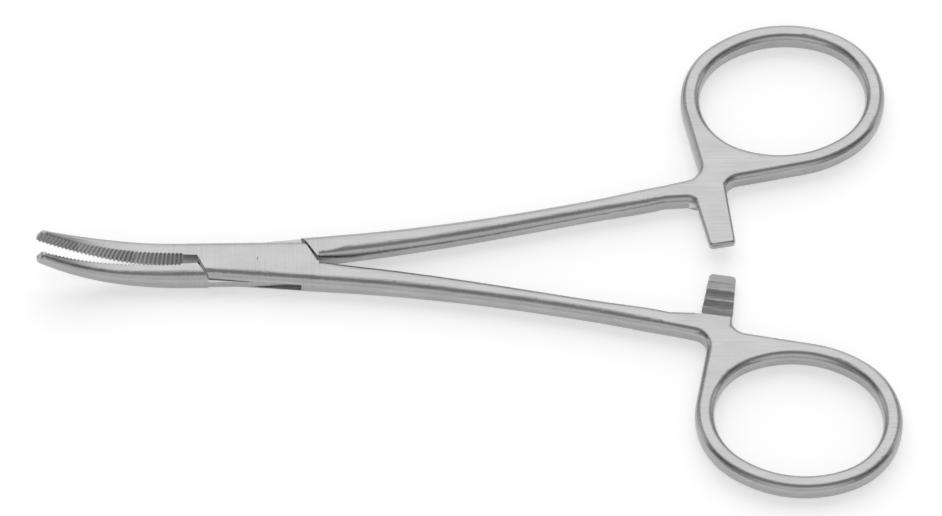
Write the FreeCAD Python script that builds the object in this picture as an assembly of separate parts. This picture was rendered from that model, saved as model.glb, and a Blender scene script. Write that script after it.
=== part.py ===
"""Curved haemostatic forceps: two forged halves that cross in a box lock, and the pin that joins them.

Millimetres, +Z up. The origin is on the pivot axis at the underside of the box. The instrument lies flat
with its curved jaw tips up, the jaws reach towards -X and the finger rings towards +X.
Each half is drawn closed, with its mid-plane at zero height, its shank and ring on the +Y side and its
jaw on the -Y side. The box half is then mirrored across the closed axis.
Each half is turned about the pivot by half of the rest opening.
"""
import FreeCAD, Part
import math
import os

# Opening at rest, in degrees, measured from the jaw tips just touching
REST_OPENING = 5.2

# Box lock
BOX_THICKNESS = 3.8
BOX_HALF_WIDTH = 3.25
SIDE_FLARE = 0.047
BOX_ROUNDING = 1.4
JAW_SHOULDER = 7.7
JAW_SHOULDER_ANGLE = 29.0
JAW_SHOULDER_GAP = 0.3
SHANK_SHOULDER = 9.3
SHANK_SHOULDER_ANGLE = 30.5
SHANK_SHOULDER_GAP = 0.08
TONGUE_THICKNESS = 1.3
TONGUE_CLEARANCE = 0.05
SLOT_END_CLEARANCE = 0.1

# Pivot pin
PIN_DIAMETER = 1.3
PIN_HEAD_DIAMETER = 1.7
PIN_HEAD_DEPTH = 0.35
PIN_SEAT_CLEARANCE = 0.01
PIN_RUNNING_CLEARANCE = 0.05

# Jaws
JAW_REACH = 30.6
JAW_CURVE_START = 10.0
JAW_CURVE_RADIUS = 39.0
JAW_TAPER_START = 19.0
JAW_TIP_WIDTH = 1.1
JAW_TIP_THICKNESS = 2.1
JAW_TIP_ROUNDING = 0.6
JAW_TIP_CLEARANCE = 0.03
JAW_BOW = 0.13
JAW_BOW_SHARE = 0.43
JAW_ROOT_GAP = 0.3

# Serrations of the gripping faces
TOOTH_PITCH = 0.6
TOOTH_DEPTH = 0.26
TOOTH_SINK = 0.03
TOOTH_FIRST = 0.5
SERRATION_LENGTH = 21.8

# Shanks
SHANK_THICKNESS = 3.2
SHANK_ROUNDING = 1.5
SHANK_GAP = 0.05
SHANK_SPLIT = 9.6
SHANK_SPLIT_ROUNDING = 0.75
SHANK_SPLIT_RUN = 5.0
SHANK_BEND_START = 15.0
SHANK_BEND_POWER = 1.72
SHANK_TAPER_END = 35.0
SHANK_ROOT_WIDTH = 3.9
SHANK_MIDDLE = 44.0
SHANK_MIDDLE_WIDTH = 3.0
SHANK_END = 60.0
SHANK_END_WIDTH = 3.05
SHANK_END_OUTER = 9.5

# Handle: finger ring, web and their edges
RING_REACH = 78.6
RING_SPREAD = 23.5
RING_OPENING_LENGTH = 24.2
RING_OPENING_WIDTH = 19.5
RING_END_RADIUS = 8.9
RING_TILT = 4.8
RING_BAND = 2.75
HANDLE_ROUNDING = 1.1
WEB_OUTER_RUN = 5.7
WEB_OUTER_RISE = 1.1
WEB_OUTER_FILLET = 2.2
WEB_FRONT_RISE = 0.3
WEB_FRONT_FILLET = 1.8
WEB_REAR_RISE = 2.65
WEB_REAR_FILLET = 2.3

# Ratchet
ARM_PLACE = 67.6
ARM_LEAN = 7.0
ARM_TIP_WIDTH = 3.8
ARM_ROOT_WIDTH = 4.9
ARM_ROUNDING = 0.45
ARM_CORNER_ROUNDING = 0.6
ARM_CORE_INSET = 0.1
ARM_CORE_SHORTER = 1.0
THROUGH_ARM_PAST_AXIS = 1.35
BOX_ARM_PAST_AXIS = 0.8
RATCHET_LEVEL = 0.55
RATCHET_LAND = 1.2
RATCHET_PITCH = 1.75
RATCHET_DEPTH = 1.0
RATCHET_TEETH = 3
RATCHET_RUN_OUT = 1.7
RATCHET_OVERHANG = 0.75

# How far a cutting body reaches past what it cuts
MARGIN = 4.0

HALF_BOX = BOX_THICKNESS / 2.0
HALF_SHANK = SHANK_THICKNESS / 2.0
HALF_SLOT = TONGUE_THICKNESS / 2.0 + TONGUE_CLEARANCE
JAW_CURVE_ANGLE = math.asin((JAW_REACH - JAW_CURVE_START) / JAW_CURVE_RADIUS)


def vec(x, y, z=0.0):
    return FreeCAD.Vector(x, y, z)


def line(a, b):
    return Part.makeLine(vec(*a), vec(*b))


def blend(a, b, t):
    return a + (b - a) * t


def smooth(t):
    """Runs from 0 to 1 with no slope at either end."""
    t = max(0.0, min(1.0, t))
    return t * t * (3.0 - 2.0 * t)


def rise(t):
    """Runs from 0 to 1, steepest at its start and with no slope at its end."""
    return math.sin(max(0.0, min(1.0, t)) * math.pi / 2.0)


def along_jaw(x):
    """0 at the jaw tip, 1 where the jaw meets the box."""
    return (x + JAW_REACH) / (JAW_REACH - JAW_SHOULDER)


def straight_side(x):
    """The straight line that the outer side follows from the jaw over the box to the shank."""
    return BOX_HALF_WIDTH + SIDE_FLARE * x


def outer_edge(x):
    """Distance from the closed axis to the outer side of a half."""
    near_tip = max(0.0, -x - JAW_TAPER_START) / (JAW_REACH - JAW_TAPER_START)
    near_web = max(0.0, x - SHANK_BEND_START) / (SHANK_END - SHANK_BEND_START)
    taper = straight_side(-JAW_REACH) - JAW_TIP_WIDTH
    bend = SHANK_END_OUTER - straight_side(SHANK_END)
    return straight_side(x) - taper * near_tip**2 + bend * near_web**SHANK_BEND_POWER


def inner_edge(x):
    """Distance from the closed axis to the inner side of a shank."""
    near = min(1.0, (x - SHANK_SPLIT) / (SHANK_MIDDLE - SHANK_SPLIT))
    far = smooth((x - SHANK_MIDDLE) / (SHANK_END - SHANK_MIDDLE))
    width = blend(blend(SHANK_ROOT_WIDTH, SHANK_MIDDLE_WIDTH, near), SHANK_END_WIDTH, far)
    return max(SHANK_GAP, outer_edge(x) - width)


def grip_face(x):
    """Distance from the closed axis to the gripping face of a jaw: it is bowed, so that the tips meet first."""
    t = along_jaw(x)
    bow = JAW_BOW * rise(t / JAW_BOW_SHARE)
    root = (JAW_ROOT_GAP - JAW_BOW) * smooth((t - JAW_BOW_SHARE) / (1.0 - JAW_BOW_SHARE))
    return JAW_TIP_CLEARANCE + bow + root


def half_thickness(x):
    """Half thickness along the instrument, largest at the box."""
    if x < -JAW_SHOULDER:
        return blend(JAW_TIP_THICKNESS / 2.0, HALF_BOX, smooth(along_jaw(x)))
    return blend(HALF_BOX, HALF_SHANK, smooth(x / SHANK_TAPER_END))


def side_rounding(x):
    """Rounding of the outer side's edges along the jaws, the box and the shank."""
    if x < 0.0:
        return BOX_ROUNDING * half_thickness(x) / HALF_BOX
    return blend(BOX_ROUNDING, SHANK_ROUNDING, smooth(x / SHANK_MIDDLE))


def quarter(start, corner, end):
    """A quarter of an ellipse in the plane X = 0 that rounds a square corner."""
    curve = Part.BezierCurve()
    curve.setPoles([vec(0, *start), vec(0, *corner), vec(0, *end)])
    curve.setWeight(2, math.sqrt(0.5))
    return curve.toShape()


def section(low, high, z, low_rounding, high_rounding, low_slope=0.0, high_slope=0.0):
    """A rounded rectangle in the plane X = 0, from Y = low to high and from -z to z.

    Each side has its own rounding, which looks wider where the side slopes across the plane.
    """
    limit = min(z * 0.95, (high - low) * 0.47)
    a = min(low_rounding, limit)
    b = min(high_rounding, limit)
    wide_a = a * math.hypot(1.0, low_slope)
    wide_b = b * math.hypot(1.0, high_slope)
    return Part.Wire(
        [
            line((0, low + wide_a, z), (0, high - wide_b, z)),
            quarter((high - wide_b, z), (high, z), (high, z - b)),
            line((0, high, z - b), (0, high, b - z)),
            quarter((high, b - z), (high, -z), (high - wide_b, -z)),
            line((0, high - wide_b, -z), (0, low + wide_a, -z)),
            quarter((low + wide_a, -z), (low, -z), (low, a - z)),
            line((0, low, a - z), (0, low, z - a)),
            quarter((low, z - a), (low, z), (low + wide_a, z)),
        ]
    )


def prism(points, low, high):
    """The solid between two heights over a plan outline with straight sides."""
    corners = [vec(x, y, low) for x, y in points]
    corners.append(corners[0])
    return Part.Face(Part.makePolygon(corners)).extrude(vec(0, 0, high - low))


def to_jaw(shape, angle):
    """Moves a shape drawn at the origin to the jaws' middle line, at an angle round their curve."""
    shape.translate(vec(-JAW_CURVE_START, 0, 0))
    shape.rotate(vec(-JAW_CURVE_START, 0, JAW_CURVE_RADIUS), vec(0, 1, 0), math.degrees(angle))
    return shape


def blank_section(x):
    """The section of both halves together, closed."""
    rounding = side_rounding(x)
    return section(-outer_edge(x), outer_edge(x), half_thickness(x), rounding, rounding)


def crossing_blank():
    """Both jaws and the box as one closed body, from which each half takes its share."""
    wires = []
    steps = 7
    for i in range(steps, 0, -1):
        angle = JAW_CURVE_ANGLE * i / steps
        wires.append(to_jaw(blank_section(-JAW_CURVE_START - JAW_CURVE_RADIUS * math.sin(angle)), angle))
    for i in range(steps + 1):
        x = blend(-JAW_CURVE_START, SHANK_SPLIT, i / steps)
        wire = blank_section(x)
        wire.translate(vec(x, 0, 0))
        wires.append(wire)
    blank = Part.makeLoft(wires, True, False)
    end = min(blank.Faces, key=lambda face: face.CenterOfMass.x)
    return blank.makeFillet(JAW_TIP_ROUNDING, end.Edges)


def shank(past_axis):
    """The shank from the box to the web of the ring, its inner side less rounded where it leaves the box."""
    wires = []
    steps = 10
    crowding = 1.5
    front = handle_front(past_axis)
    front_slope = (front.y - inner_edge(SHANK_END)) / (front.x - SHANK_END)
    for i in range(steps + 1):
        x = blend(SHANK_SPLIT, SHANK_END, (i / steps) ** crowding)
        to_web = smooth((x - SHANK_MIDDLE) / (SHANK_END - SHANK_MIDDLE))
        outside = blend(side_rounding(x), HANDLE_ROUNDING, to_web)
        inside = blend(SHANK_SPLIT_ROUNDING, outside, smooth((x - SHANK_SPLIT) / SHANK_SPLIT_RUN))
        low_slope = to_web * front_slope
        high_slope = to_web * WEB_OUTER_RISE / WEB_OUTER_RUN
        wire = section(
            inner_edge(x), outer_edge(x), half_thickness(x), inside, outside, low_slope, high_slope
        )
        wire.translate(vec(x, 0, 0))
        wires.append(wire)
    return Part.makeLoft(wires, True, False)


def ring_place(along, across):
    """A place given from the middle of the ring along its own axes, tilted with the ring."""
    tilt = math.radians(RING_TILT)
    x = along * math.cos(tilt) - across * math.sin(tilt)
    y = along * math.sin(tilt) + across * math.cos(tilt)
    return vec(RING_REACH + x, RING_SPREAD + y)


def ring_arcs():
    """How far the centres of the oval's end arcs and side arcs stand from its middle, and the side radius."""
    end_offset = RING_OPENING_LENGTH / 2.0 - RING_END_RADIUS
    half_width = RING_OPENING_WIDTH / 2.0
    side_radius = (end_offset**2 + half_width**2 - RING_END_RADIUS**2) / (2.0 * (half_width - RING_END_RADIUS))
    return end_offset, side_radius - half_width, side_radius


def ring_prism(grow, half_height):
    """An upright oval cylinder of four arcs: the ring's opening, grown by an amount all round."""
    end_offset, side_offset, side_radius = ring_arcs()
    turn = math.atan2(side_offset, end_offset)
    end_radius = RING_END_RADIUS + grow
    side_radius += grow
    joints = []
    for sign_x, sign_y in ((1, -1), (1, 1), (-1, 1), (-1, -1)):
        along = end_offset + end_radius * math.cos(turn)
        across = end_radius * math.sin(turn)
        joints.append(ring_place(sign_x * along, sign_y * across))
    middles = [
        ring_place(end_offset + end_radius, 0.0),
        ring_place(0.0, side_radius - side_offset),
        ring_place(-end_offset - end_radius, 0.0),
        ring_place(0.0, side_offset - side_radius),
    ]
    arcs = []
    for i in range(4):
        arcs.append(Part.Arc(joints[i], middles[i], joints[(i + 1) % 4]).toShape())
    solid = Part.Face(Part.Wire(arcs)).extrude(vec(0, 0, 2.0 * half_height))
    solid.translate(vec(0, 0, -half_height))
    return solid


def tangent_place(centre, radius, start, side):
    """Where a straight line from a point touches a circle: side is -1 or 1 for the two lines."""
    away = start - centre
    angle = math.atan2(away.y, away.x) + side * math.acos(radius / away.Length)
    return centre + vec(radius * math.cos(angle), radius * math.sin(angle))


def fillet_upright(shape, corner, radius):
    """Rounds the upright edge that stands at a corner of the plan."""
    edges = []
    for edge in shape.Edges:
        a, b = edge.Vertexes[0].Point, edge.Vertexes[-1].Point
        upright = math.hypot(a.x - b.x, a.y - b.y) < 1e-6 and abs(a.z - b.z) > 1e-3
        if upright and math.hypot(a.x - corner.x, a.y - corner.y) < 1e-3:
            edges.append(edge)
    return shape.makeFillet(radius, edges)


def arm_frame(past_axis):
    """The ratchet arm's tip centre, and its unit directions from the tip to the root and across."""
    lean = math.radians(ARM_LEAN)
    tip = vec(ARM_PLACE + past_axis * math.tan(lean), -past_axis)
    return tip, vec(-math.sin(lean), math.cos(lean)), vec(math.cos(lean), math.sin(lean))


def arm_root():
    """How far from the closed axis the ratchet arm ends in the web."""
    return inner_edge(SHANK_END) + WEB_REAR_RISE


def arm_side(past_axis, y, side, inset):
    """A point of the ratchet arm's plan at a height y: side is -1 towards the box, 1 towards the ring."""
    tip, back, across = arm_frame(past_axis)
    share = (y - tip.y) / (arm_root() - tip.y)
    half_width = blend(ARM_TIP_WIDTH, ARM_ROOT_WIDTH, share) / 2.0 - inset
    return tip + back * ((y - tip.y) / back.y) + across * (side * half_width)


def handle_front(past_axis):
    """Where the inner edge of the web meets the ratchet arm on the side of the box."""
    return arm_side(past_axis, inner_edge(SHANK_END) + WEB_FRONT_RISE, -1, ARM_CORE_INSET)


def fillet_rims(shape, radius):
    """Rounds the edges of a plate's top and bottom, except where it is cut off before the shank's end."""
    rims = []
    for edge in shape.Edges:
        box = edge.BoundBox
        if box.ZLength < 1e-6 and not (box.XLength < 1e-6 and box.XMax < SHANK_END):
            rims.append(edge)
    return shape.makeFillet(radius, rims)


def arm_bar(past_axis):
    """The ratchet arm: a bar with lightly rounded edges, its root inside the web."""
    plan = []
    for y, side in ((-past_axis, -1), (-past_axis, 1), (arm_root(), 1), (arm_root(), -1)):
        plan.append(arm_side(past_axis, y, side, 0.0))
    bar = prism([(p.x, p.y) for p in plan], -HALF_SHANK, HALF_SHANK)
    for corner in plan[:2]:
        bar = fillet_upright(bar, corner, ARM_CORNER_ROUNDING)
    return fillet_rims(bar, ARM_ROUNDING)


def handle(past_axis):
    """Web, ratchet arm and finger ring as one plate with rounded edges, starting where the shank ends."""
    inner = vec(SHANK_END, inner_edge(SHANK_END))
    outer = vec(SHANK_END, outer_edge(SHANK_END))
    front = handle_front(past_axis)
    rear = arm_side(past_axis, arm_root(), 1, ARM_CORE_INSET)
    corner = outer + vec(WEB_OUTER_RUN, WEB_OUTER_RISE)
    tip_front = arm_side(past_axis, ARM_CORE_SHORTER - past_axis, -1, ARM_CORE_INSET)
    tip_rear = arm_side(past_axis, ARM_CORE_SHORTER - past_axis, 1, ARM_CORE_INSET)
    end_offset, side_offset, side_radius = ring_arcs()
    left = tangent_place(ring_place(-end_offset, 0.0), RING_END_RADIUS + RING_BAND, corner, -1)
    low = tangent_place(ring_place(0.0, side_offset), side_radius + RING_BAND, rear, 1)
    start_inner = inner - (front - inner) * (MARGIN / (front.x - inner.x))
    start_outer = outer - (corner - outer) * (MARGIN / WEB_OUTER_RUN)
    outline = [start_inner, front, tip_front, tip_rear, rear, low, ring_place(0.0, 0.0), left, corner, start_outer]
    plate = prism([(p.x, p.y) for p in outline], -HALF_SHANK, HALF_SHANK)
    plate = plate.fuse(ring_prism(RING_BAND, HALF_SHANK)).removeSplitter()
    for place, radius in (
        (corner, WEB_OUTER_FILLET),
        (front, WEB_FRONT_FILLET),
        (rear, WEB_REAR_FILLET),
        (tip_front, HANDLE_ROUNDING + ARM_CORE_INSET),
        (tip_rear, HANDLE_ROUNDING + ARM_CORE_INSET),
    ):
        plate = fillet_upright(plate, place, radius)
    plate = fillet_rims(plate.cut(ring_prism(0.0, BOX_THICKNESS)), HANDLE_ROUNDING)
    start = SHANK_END - 2.0 * MARGIN
    before = Part.makeBox(2.0 * MARGIN, RING_SPREAD, BOX_THICKNESS, vec(start, 0, -HALF_BOX))
    return plate.cut(before).fuse(arm_bar(past_axis))


def comb(past_axis, side):
    """What is cut away from the ratchet arm to leave its teeth: side is 1 for teeth on top, -1 underneath."""
    tip, back, across = arm_frame(past_axis)
    level = -RATCHET_LEVEL
    profile = [(-MARGIN, level), (RATCHET_LAND, level)]
    for i in range(RATCHET_TEETH):
        crest = RATCHET_LAND + (i + 1) * RATCHET_PITCH
        profile.append((crest, level + RATCHET_DEPTH))
        profile.append((crest, level))
    end = RATCHET_LAND + RATCHET_TEETH * RATCHET_PITCH + RATCHET_RUN_OUT
    profile.extend([(end, level), (end, BOX_THICKNESS), (-MARGIN, BOX_THICKNESS)])
    reach = ARM_ROOT_WIDTH / 2.0 + RATCHET_OVERHANG
    start = tip - across * reach
    corners = [start + back * d + vec(0, 0, side * z) for d, z in profile]
    corners.append(corners[0])
    return Part.Face(Part.makePolygon(corners)).extrude(across * (2.0 * reach))


def line_place(vertex, angle, y):
    """Where a shoulder line, which leans by an angle and meets the closed axis at a vertex, is at a height y."""
    return vertex + y * math.tan(math.radians(angle))


def half_plan(points, low, high):
    """The prism of a half's plan: a smooth gripping face, then straight sides through the given points."""
    steps = 8
    face = []
    for i in range(steps + 1):
        x = blend(-JAW_REACH, -JAW_CURVE_START, i / steps)
        face.append(vec(x, -grip_face(x), low))
    curve = Part.BSplineCurve()
    curve.interpolate(face)
    beyond = -JAW_REACH - MARGIN
    wide = -BOX_HALF_WIDTH - MARGIN
    corners = [face[-1]] + [vec(x, y, low) for x, y in points]
    corners += [vec(beyond, wide, low), vec(beyond, face[0].y, low), face[0]]
    edges = [curve.toShape()]
    for a, b in zip(corners, corners[1:]):
        edges.append(Part.makeLine(a, b))
    return Part.Face(Part.Wire(edges)).extrude(vec(0, 0, high - low))


def serrations(shift):
    """Cross grooves of a gripping face, square to the jaw's curve, shifted by a share of the pitch."""
    grooves = []
    bottom = TOOTH_DEPTH + TOOTH_SINK
    wide = TOOTH_PITCH / 2.0 / TOOTH_DEPTH * (bottom + TOOTH_DEPTH)
    place = TOOTH_FIRST + shift * TOOTH_PITCH
    while place < SERRATION_LENGTH:
        angle = JAW_CURVE_ANGLE - place / JAW_CURVE_RADIUS
        x = -JAW_CURVE_START - JAW_CURVE_RADIUS * math.sin(angle)
        face = -grip_face(x)
        points = [(-wide, face + TOOTH_DEPTH), (wide, face + TOOTH_DEPTH), (0.0, face - bottom)]
        grooves.append(to_jaw(prism(points, -BOX_THICKNESS, BOX_THICKNESS), angle))
        place += TOOTH_PITCH
    return grooves


def bore(diameter):
    """A cylinder on the pivot axis, longer than the box is thick."""
    return Part.makeCylinder(diameter / 2.0, 2.0 * BOX_THICKNESS, vec(0, 0, -BOX_THICKNESS))


def rivet(clearance):
    """The pin with its countersunk heads, or with a clearance the hole that seats it."""
    shaft = PIN_DIAMETER / 2.0 + clearance
    head = PIN_HEAD_DIAMETER / 2.0 + clearance
    neck = HALF_BOX - PIN_HEAD_DEPTH
    profile = [vec(0, 0, -HALF_BOX), vec(head, 0, -HALF_BOX), vec(shaft, 0, -neck)]
    profile += [vec(shaft, 0, neck), vec(head, 0, HALF_BOX), vec(0, 0, HALF_BOX), vec(0, 0, -HALF_BOX)]
    return Part.Face(Part.makePolygon(profile)).revolve(vec(0, 0, 0), vec(0, 0, 1), 360.0)


def box_half():
    """The half with the cheeks and the slot, drawn with its shank on the +Y side."""
    wide = outer_edge(0.0) + MARGIN
    jaw, rear = JAW_SHOULDER_ANGLE, SHANK_SHOULDER_ANGLE
    root = -grip_face(-JAW_SHOULDER)
    plan = [
        (line_place(-JAW_SHOULDER, jaw, root), root),
        (line_place(-JAW_SHOULDER, jaw, wide), wide),
        (SHANK_SPLIT, wide),
        (SHANK_SPLIT, SHANK_GAP),
        (line_place(SHANK_SHOULDER, rear, SHANK_GAP), SHANK_GAP),
        (line_place(SHANK_SHOULDER, rear, -wide), -wide),
    ]
    slot = [
        (-JAW_SHOULDER, 0.0),
        (-JAW_SHOULDER - MARGIN, 0.0),
        (-JAW_SHOULDER - MARGIN, wide),
        (line_place(SHANK_SHOULDER, -rear, wide), wide),
        (SHANK_SHOULDER, 0.0),
        (SHANK_SHOULDER + MARGIN, 0.0),
        (SHANK_SHOULDER + MARGIN, -wide),
        (line_place(-JAW_SHOULDER, -jaw, -wide), -wide),
    ]
    body = crossing_blank().common(half_plan(plan, -BOX_THICKNESS, BOX_THICKNESS * 3.0))
    body = body.cut(prism(slot, -HALF_SLOT, HALF_SLOT))
    body = body.cut(rivet(PIN_SEAT_CLEARANCE))
    body = body.cut(serrations(0.0))
    grip = handle(BOX_ARM_PAST_AXIS).cut(comb(BOX_ARM_PAST_AXIS, 1.0))
    return body.fuse([shank(BOX_ARM_PAST_AXIS), grip])


def through_half():
    """The half whose tongue passes through the slot, drawn with its shank on the +Y side."""
    wide = outer_edge(0.0) + MARGIN
    jaw, rear = JAW_SHOULDER_ANGLE, SHANK_SHOULDER_ANGLE
    root = -grip_face(-JAW_SHOULDER)
    jaw_shoulder = -JAW_SHOULDER - JAW_SHOULDER_GAP / math.cos(math.radians(jaw))
    shank_shoulder = SHANK_SHOULDER + SHANK_SHOULDER_GAP / math.cos(math.radians(rear))
    front = -JAW_SHOULDER + SLOT_END_CLEARANCE
    back = SHANK_SHOULDER - SLOT_END_CLEARANCE
    plan = [
        (line_place(jaw_shoulder, -jaw, root), root),
        (front, 0.0),
        (line_place(front, jaw, wide), wide),
        (SHANK_SPLIT, wide),
        (SHANK_SPLIT, SHANK_GAP),
        (back, 0.0),
        (line_place(back, rear, -wide), -wide),
    ]
    cheek = [
        (line_place(jaw_shoulder, -jaw, wide), wide),
        (line_place(shank_shoulder, -rear, wide), wide),
        (line_place(shank_shoulder, -rear, -wide), -wide),
        (line_place(jaw_shoulder, -jaw, -wide), -wide),
    ]
    tongue = TONGUE_THICKNESS / 2.0
    body = crossing_blank().common(half_plan(plan, -BOX_THICKNESS, BOX_THICKNESS * 3.0))
    body = body.cut(prism(cheek, tongue, BOX_THICKNESS))
    body = body.cut(prism(cheek, -BOX_THICKNESS, -tongue))
    body = body.cut(bore(PIN_DIAMETER + 2.0 * PIN_RUNNING_CLEARANCE))
    body = body.cut(serrations(0.5))
    grip = handle(THROUGH_ARM_PAST_AXIS).cut(comb(THROUGH_ARM_PAST_AXIS, -1.0))
    return body.fuse([shank(THROUGH_ARM_PAST_AXIS), grip])


def settle(shape, angle):
    """Turns a half about the pivot to its place at rest, with the underside of the box on the ground."""
    placed = shape.copy()
    placed.rotate(vec(0, 0, 0), vec(0, 0, 1), angle)
    placed.translate(vec(0, 0, HALF_BOX))
    return placed


def main():
    os.makedirs("parts", exist_ok=True)
    mirrored = box_half().mirror(vec(0, 0, 0), vec(0, 1, 0))
    parts = {
        "box_half": settle(mirrored, -REST_OPENING / 2.0),
        "through_half": settle(through_half(), REST_OPENING / 2.0),
        "pivot_pin": settle(rivet(0.0), 0.0),
    }
    for name, shape in parts.items():
        solids = shape.Solids
        print(name, "solids", len(solids), "valid", shape.isValid(), "volume", round(shape.Volume, 2))
        solids[0].exportStep("parts/" + name + ".step")


main()
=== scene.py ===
"""Looks, light and camera for the hemostat forceps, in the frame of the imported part. Metres."""
import bpy
import math
from mathutils import Matrix, Vector

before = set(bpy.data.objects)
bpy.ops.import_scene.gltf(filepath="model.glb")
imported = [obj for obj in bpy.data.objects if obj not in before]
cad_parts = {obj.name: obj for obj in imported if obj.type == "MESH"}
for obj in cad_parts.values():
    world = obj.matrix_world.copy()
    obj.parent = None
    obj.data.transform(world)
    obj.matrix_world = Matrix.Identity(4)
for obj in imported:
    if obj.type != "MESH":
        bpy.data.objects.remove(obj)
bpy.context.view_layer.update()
MM = 0.001

# Camera: the direction in which it stands from its target, its roll and distance, and its focal length
# in pixels of an image of this width
IMAGE_WIDTH = 942
FOCAL_PIXELS = 11832
SENSOR_WIDTH = 36.0
CAMERA_AZIMUTH = math.radians(-4.11)
CAMERA_ELEVATION = math.radians(58.0)
CAMERA_ROLL = math.radians(2.86)
CAMERA_DISTANCE = 1700 * MM
CAMERA_TARGET = Vector((31.5, 0.8, 1.9)) * MM
CAMERA_SIGHT = 20.0

# Steel: the ranges of its colour and roughness, and the darker rim of the pin's head, painted shade of the
# seam where it sits in the box
STEEL_DARK = (0.36, 0.36, 0.362, 1.0)
STEEL_LIGHT = (0.46, 0.46, 0.462, 1.0)
ROUGHNESS_LOW = 0.19
ROUGHNESS_HIGH = 0.29
PIN_SEAM_SHADE = (0.35, 0.35, 0.352, 1.0)
PIN_RIM_RADIUS = 0.74 * MM
PIN_RIM_SOFTNESS = 0.06 * MM

# Grain: features per metre on each axis, and levels of detail
LENGTHWISE_GRAIN = ((90, 2600, 2600), 4.0)
CROSSWISE_GRAIN = ((5200, 120, 300), 3.0)
SPECKLE = ((5200, 5200, 5200), 2.0)
CLOUD = ((140, 320, 320), 3.0)
GRAIN_ROUGHNESS = 0.6
GRAIN_LOW = 0.3
GRAIN_HIGH = 0.7

# The grain runs across the box up to the first distance from the pivot, and lengthwise beyond the second
CROSSWISE_FULL = 8.8 * MM
CROSSWISE_END = 14.3 * MM

# Shares of cloud in the colour and of speckle in the relief, and the strength and height of the relief
CLOUD_SHARE = 0.45
SPECKLE_SHARE = 0.4
RELIEF_STRENGTH = 0.25
RELIEF_HEIGHT = 0.012 * MM

# Painted light and shade on the box half, each place a box: its middle and half sizes in mm, its turn in
# degrees and the factor on the steel's colour. They are a painted highlight on the ratchet's teeth, painted
# shade on the land at the arm's tip, and painted shade on the serrations, which is darker towards the jaw's
# tip.
PAINTED_LIGHT_AND_SHADE = (
    # painted highlight on the ratchet's teeth
    ((66.9, -6.8, 1.9), (3.2, 3.38, 0.65), -9.5, 1.65),
    # painted shade on the land at the arm's tip
    ((67.56, -2.75, 1.35), (3.2, 0.72, 0.25), -9.5, 0.64),
    # painted shade on the serrations, with more of it towards the jaw's tip
    ((-24.96, 1.37, 4.0), (8.0, 0.25, 8.0), -2.6, 0.74),
    ((-28.96, 1.55, 4.0), (4.0, 0.25, 8.0), -2.6, 0.74),
)
MIDDLE_HEIGHT = 1.9

# Floor: its size, its colour, and the strength that lifts it to white
FLOOR_SIZE = 6.0
FLOOR_COLOUR = (0.76, 0.76, 0.76, 1.0)
FLOOR_LIFT = 0.47

# Room of soft light: places and brightnesses from the far horizon (0) over the ceiling to the near
# horizon (1), and from the middle (0) to the sides (1)
STUDIO_ARC = (
    (0.0, 0.65), (0.14, 0.9), (0.41, 0.98), (0.51, 0.27), (0.67, 0.27), (0.77, 0.72), (1.0, 0.6)
)
STUDIO_SIDES = ((0.0, 1.0), (0.35, 1.0), (0.64, 0.42), (0.78, 0.5), (0.95, 0.8))
STUDIO_STRENGTH = 1.35

# Lamp behind the object: the direction in which it stands, its distance, size and radiance
LAMP_AZIMUTH = math.radians(180)
LAMP_ELEVATION = math.radians(50)
LAMP_DISTANCE = 0.9
LAMP_WIDTH = 1.2
LAMP_HEIGHT = 0.9
LAMP_RADIANCE = 0.2


def direction(azimuth, elevation):
    """The direction away from the object: azimuth 0 is the near side, and elevation is over the floor."""
    level = math.cos(elevation)
    return Vector((math.sin(azimuth) * level, -math.cos(azimuth) * level, math.sin(elevation)))


def add(tree, kind, inputs, **settings):
    """Adds a node. Each input is a value, or another node's output to link to it."""
    node = tree.nodes.new("ShaderNode" + kind)
    for name, value in settings.items():
        setattr(node, name, value)
    for key, value in inputs.items():
        if isinstance(value, bpy.types.NodeSocket):
            tree.links.new(value, node.inputs[key])
        else:
            node.inputs[key].default_value = value
    return node


def maths(tree, operation, *values):
    """The result of a sum on numbers."""
    return add(tree, "Math", dict(enumerate(values)), operation=operation).outputs["Value"]


def blend(tree, kind, share, a, b, **settings):
    """A mix of two values or two colours: share is 0 for a, 1 for b."""
    inputs = {"Factor": share, "A": a, "B": b}
    return add(tree, "Mix", inputs, data_type=kind, **settings).outputs["Result"]


def remap(tree, value, before, after, **settings):
    """Maps one range of a value to another."""
    inputs = {
        "Value": value,
        "From Min": before[0],
        "From Max": before[1],
        "To Min": after[0],
        "To Max": after[1],
    }
    return add(tree, "MapRange", inputs, **settings).outputs["Result"]


def new_material(name):
    """A material without nodes, and its node tree."""
    material = bpy.data.materials.new(name)
    material.use_nodes = True
    material.node_tree.nodes.clear()
    return material, material.node_tree


def grain(tree, place, pattern):
    """Noise, drawn out along the axes on which it has few features."""
    scale, detail = pattern
    drawn = add(tree, "Mapping", {"Scale": scale, "Vector": place}).outputs["Vector"]
    inputs = {"Scale": 1.0, "Detail": detail, "Roughness": GRAIN_ROUGHNESS, "Vector": drawn}
    return add(tree, "TexNoise", inputs).outputs["Fac"]


def spread(tree, value, low, high):
    """Maps the middle of a noise's values to the range from low to high."""
    return remap(tree, value, (GRAIN_LOW, GRAIN_HIGH), (low, high))


def near_box(tree, place):
    """1 over the box lock, falling to 0 along the jaws and shanks."""
    x = add(tree, "SeparateXYZ", {"Vector": place}).outputs["X"]
    away = maths(tree, "ABSOLUTE", x)
    limits = (CROSSWISE_FULL, CROSSWISE_END)
    return remap(tree, away, limits, (1.0, 0.0), interpolation_type="SMOOTHSTEP")


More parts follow.
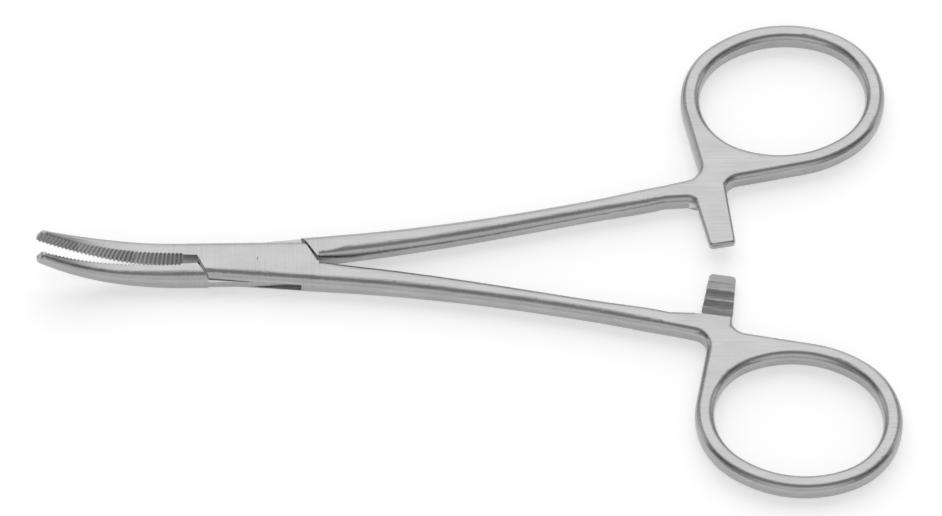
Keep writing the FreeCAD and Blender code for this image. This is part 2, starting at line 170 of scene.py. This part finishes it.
def off_axis(tree, place):
    """0 on the pin's head, rising to 1 at its rim, where the painted shade of the seam goes."""
    flat = add(tree, "VectorMath", {0: place, 1: (1, 1, 0)}, operation="MULTIPLY").outputs["Vector"]
    away = add(tree, "VectorMath", {0: flat}, operation="LENGTH").outputs["Value"]
    limits = (PIN_RIM_RADIUS, PIN_RIM_RADIUS + PIN_RIM_SOFTNESS)
    return remap(tree, away, limits, (0.0, 1.0), interpolation_type="SMOOTHSTEP")


def mirrored(zones):
    """The same places of painted light and shade on the through half, which is the box half turned over."""
    places = []
    for (x, y, z), half, turn, factor in zones:
        places.append(((x, -y, 2 * MIDDLE_HEIGHT - z), half, -turn, factor))
    return places


def inside(tree, place, middle, half, turn):
    """1 inside a box, 0 elsewhere."""
    inputs = {
        "Vector": place,
        "Location": [c * MM for c in middle],
        "Rotation": (0, 0, math.radians(turn)),
        "Scale": [c * MM for c in half],
    }
    local = add(tree, "Mapping", inputs, vector_type="TEXTURE").outputs["Vector"]
    size = add(tree, "VectorMath", {0: local}, operation="ABSOLUTE").outputs["Vector"]
    steps = add(tree, "VectorMath", {0: size}, operation="FLOOR").outputs["Vector"]
    outside = add(tree, "VectorMath", {0: steps}, operation="LENGTH").outputs["Value"]
    return maths(tree, "LESS_THAN", outside, 0.5)


def steel(name, rim=None, zones=()):
    """Satin steel: fine grain along the shanks and across the box, in colour, roughness and relief.

    A rim colour darkens the edge of the pin's head: painted shade of the seam around it. Each zone is a box
    and the factor on the colour in it, which paints a highlight or shade there.
    """
    material, tree = new_material(name)
    place = add(tree, "TexCoord", {}).outputs["Object"]
    lengthwise = grain(tree, place, LENGTHWISE_GRAIN)
    crosswise = grain(tree, place, CROSSWISE_GRAIN)
    brushed = blend(tree, "FLOAT", near_box(tree, place), lengthwise, crosswise)

    tone = blend(tree, "FLOAT", CLOUD_SHARE, brushed, grain(tree, place, CLOUD))
    tint = blend(tree, "RGBA", spread(tree, tone, 0.0, 1.0), STEEL_DARK, STEEL_LIGHT)
    # Painted highlight and painted shade: each zone multiplies the steel's colour by its factor.
    for middle, half, turn, factor in zones:
        within = inside(tree, place, middle, half, turn)
        tint = blend(tree, "RGBA", within, tint, (factor, factor, factor, 1.0), blend_type="MULTIPLY")
    # Painted shade of the seam around the pin's head, in the rim colour.
    if rim:
        tint = blend(tree, "RGBA", off_axis(tree, place), tint, rim)

    relief = blend(tree, "FLOAT", SPECKLE_SHARE, brushed, grain(tree, place, SPECKLE))
    inputs = {"Strength": RELIEF_STRENGTH, "Distance": RELIEF_HEIGHT, "Height": relief}
    normal = add(tree, "Bump", inputs).outputs["Normal"]
    inputs = {
        "Base Color": tint,
        "Metallic": 1.0,
        "Roughness": spread(tree, brushed, ROUGHNESS_LOW, ROUGHNESS_HIGH),
        "Normal": normal,
    }
    shader = add(tree, "BsdfPrincipled", inputs).outputs["BSDF"]
    add(tree, "OutputMaterial", {"Surface": shader})
    return material


def dress(node, material):
    """Gives a CAD node its material."""
    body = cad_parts[node]
    body.data.materials.clear()
    body.data.materials.append(material)


def white_floor():
    """Takes the object's soft shadow, and is lifted to white for the camera and in reflections."""
    material, tree = new_material("white floor")
    diffuse = add(tree, "BsdfDiffuse", {"Color": FLOOR_COLOUR}).outputs["BSDF"]
    ray = add(tree, "LightPath", {}).outputs
    bounced = maths(tree, "MAXIMUM", ray["Is Glossy Ray"], ray["Is Transmission Ray"])
    seen = maths(tree, "MAXIMUM", ray["Is Camera Ray"], bounced)
    lift = maths(tree, "MULTIPLY", seen, FLOOR_LIFT)
    glow = add(tree, "Emission", {"Strength": lift}).outputs["Emission"]
    both = add(tree, "AddShader", {0: diffuse, 1: glow}).outputs["Shader"]
    add(tree, "OutputMaterial", {"Surface": both})
    return material


def floor():
    """A plain square floor under the object."""
    half = FLOOR_SIZE / 2
    corners = [(-half, -half, 0), (half, -half, 0), (half, half, 0), (-half, half, 0)]
    mesh = bpy.data.meshes.new("floor")
    mesh.from_pydata(corners, [], [(0, 1, 2, 3)])
    mesh.materials.append(white_floor())
    plane = bpy.data.objects.new("floor", mesh)
    bpy.context.collection.objects.link(plane)


def ramp(tree, value, stops):
    """A smooth curve through brightnesses at given places from 0 to 1."""
    node = add(tree, "ValToRGB", {"Fac": value})
    curve = node.color_ramp
    curve.interpolation = "EASE"
    while len(curve.elements) < len(stops):
        curve.elements.new(0.5)
    for element, (position, level) in zip(curve.elements, stops):
        element.position = position
        element.color = (level, level, level, 1.0)
    return node.outputs["Color"]


def studio():
    """A room of soft light: wide bright panels behind and in front, a darker ceiling and sides."""
    world = bpy.data.worlds.new("studio")
    world.use_nodes = True
    bpy.context.scene.world = world
    tree = world.node_tree
    toward = add(tree, "TexCoord", {}).outputs["Generated"]
    parts = add(tree, "SeparateXYZ", {"Vector": toward}).outputs
    arc = maths(tree, "ARCTAN2", parts["Z"], parts["Y"])
    over = ramp(tree, remap(tree, arc, (0.0, math.pi), (0.0, 1.0)), STUDIO_ARC)
    sides = ramp(tree, maths(tree, "ABSOLUTE", parts["X"]), STUDIO_SIDES)
    background = tree.nodes["Background"]
    tree.links.new(blend(tree, "RGBA", 1.0, over, sides, blend_type="MULTIPLY"), background.inputs["Color"])
    background.inputs["Strength"].default_value = STUDIO_STRENGTH


def far_light():
    """A weak soft lamp behind the object, which faces it."""
    toward = direction(LAMP_AZIMUTH, LAMP_ELEVATION)
    lamp = bpy.data.lights.new("far light", "AREA")
    lamp.shape = "RECTANGLE"
    lamp.size = LAMP_WIDTH
    lamp.size_y = LAMP_HEIGHT
    lamp.energy = LAMP_RADIANCE * math.pi * LAMP_WIDTH * LAMP_HEIGHT
    holder = bpy.data.objects.new("far light", lamp)
    bpy.context.collection.objects.link(holder)
    holder.location = CAMERA_TARGET + toward * LAMP_DISTANCE
    holder.rotation_euler = toward.to_track_quat("Z", "Y").to_euler()


def camera():
    """The photograph's point of view."""
    out = direction(CAMERA_AZIMUTH, CAMERA_ELEVATION)
    right = Vector((math.cos(CAMERA_AZIMUTH), math.sin(CAMERA_AZIMUTH), 0))
    up = out.cross(right)
    rolled_right = right * math.cos(CAMERA_ROLL) + up * math.sin(CAMERA_ROLL)
    rolled_up = up * math.cos(CAMERA_ROLL) - right * math.sin(CAMERA_ROLL)
    data = bpy.data.cameras.new("camera")
    data.sensor_width = SENSOR_WIDTH
    data.lens = FOCAL_PIXELS * SENSOR_WIDTH / IMAGE_WIDTH
    data.clip_end = CAMERA_SIGHT
    holder = bpy.data.objects.new("camera", data)
    axes = Matrix((rolled_right, rolled_up, out)).transposed().to_4x4()
    holder.matrix_world = Matrix.Translation(CAMERA_TARGET + out * CAMERA_DISTANCE) @ axes
    bpy.context.collection.objects.link(holder)
    bpy.context.scene.camera = holder


def main():
    dress("box_half", steel("box half steel", zones=PAINTED_LIGHT_AND_SHADE))
    dress("through_half", steel("through half steel", zones=mirrored(PAINTED_LIGHT_AND_SHADE)))
    dress("pivot_pin", steel("pin steel", rim=PIN_SEAM_SHADE))
    floor()
    studio()
    far_light()
    camera()
    bpy.context.scene.view_settings.view_transform = "Standard"


main()
